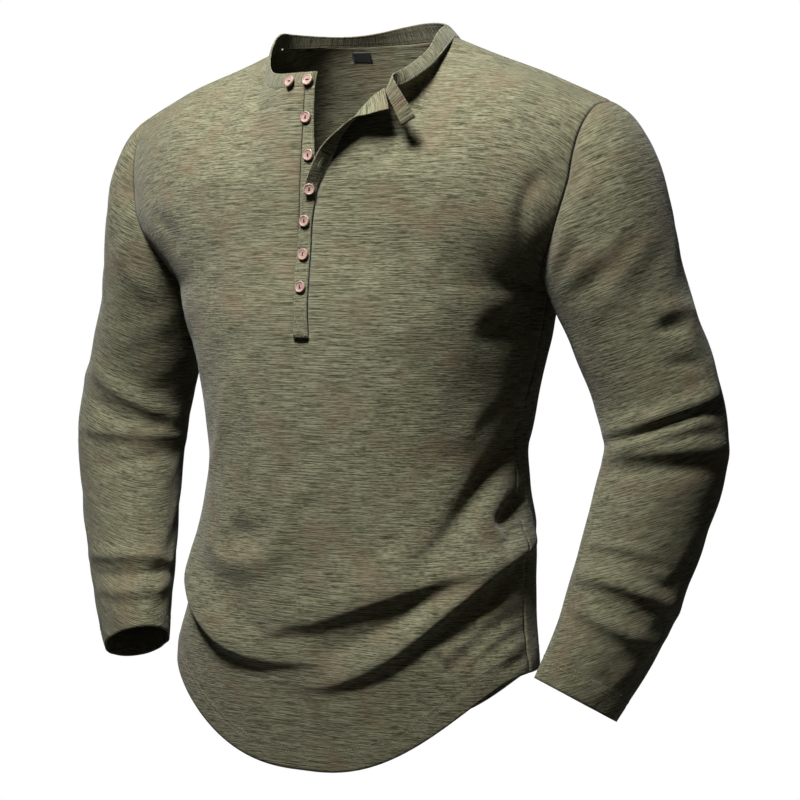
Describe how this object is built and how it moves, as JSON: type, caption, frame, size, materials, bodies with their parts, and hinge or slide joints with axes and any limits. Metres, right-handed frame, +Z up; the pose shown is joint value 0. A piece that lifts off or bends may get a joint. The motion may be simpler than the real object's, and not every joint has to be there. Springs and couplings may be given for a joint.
{
  "type": "henley shirt",
  "caption": "Long-sleeved henley shirt with an open neckband, a button placket and a curved shirt-tail hem, filled out as worn.",
  "frame": {"origin": "middle of the neck opening, level with the top of the neckband at the shoulders, where the wearer carries the shirt", "axes": "+X to the wearer's left, the front faces -Y, +Z up"},
  "size_m": [0.7507, 0.2587, 0.7327],
  "materials": {
    "cloth": "olive slub cotton jersey",
    "button": "satin",
    "label": "black satin"
  },
  "bodies": {
    "root": {"front": "cloth", "back": "cloth", "sleeve_right": "cloth", "sleeve_left": "cloth", "neckband": "cloth", "placket_under": "cloth", "placket_over": "cloth", "size_label": "label", "button_1": "button", "button_2": "button", "button_3": "button", "button_4": "button", "button_5": "button", "button_6": "button", "button_7": "button", "button_8": "button"}
  },
  "joints": []
}
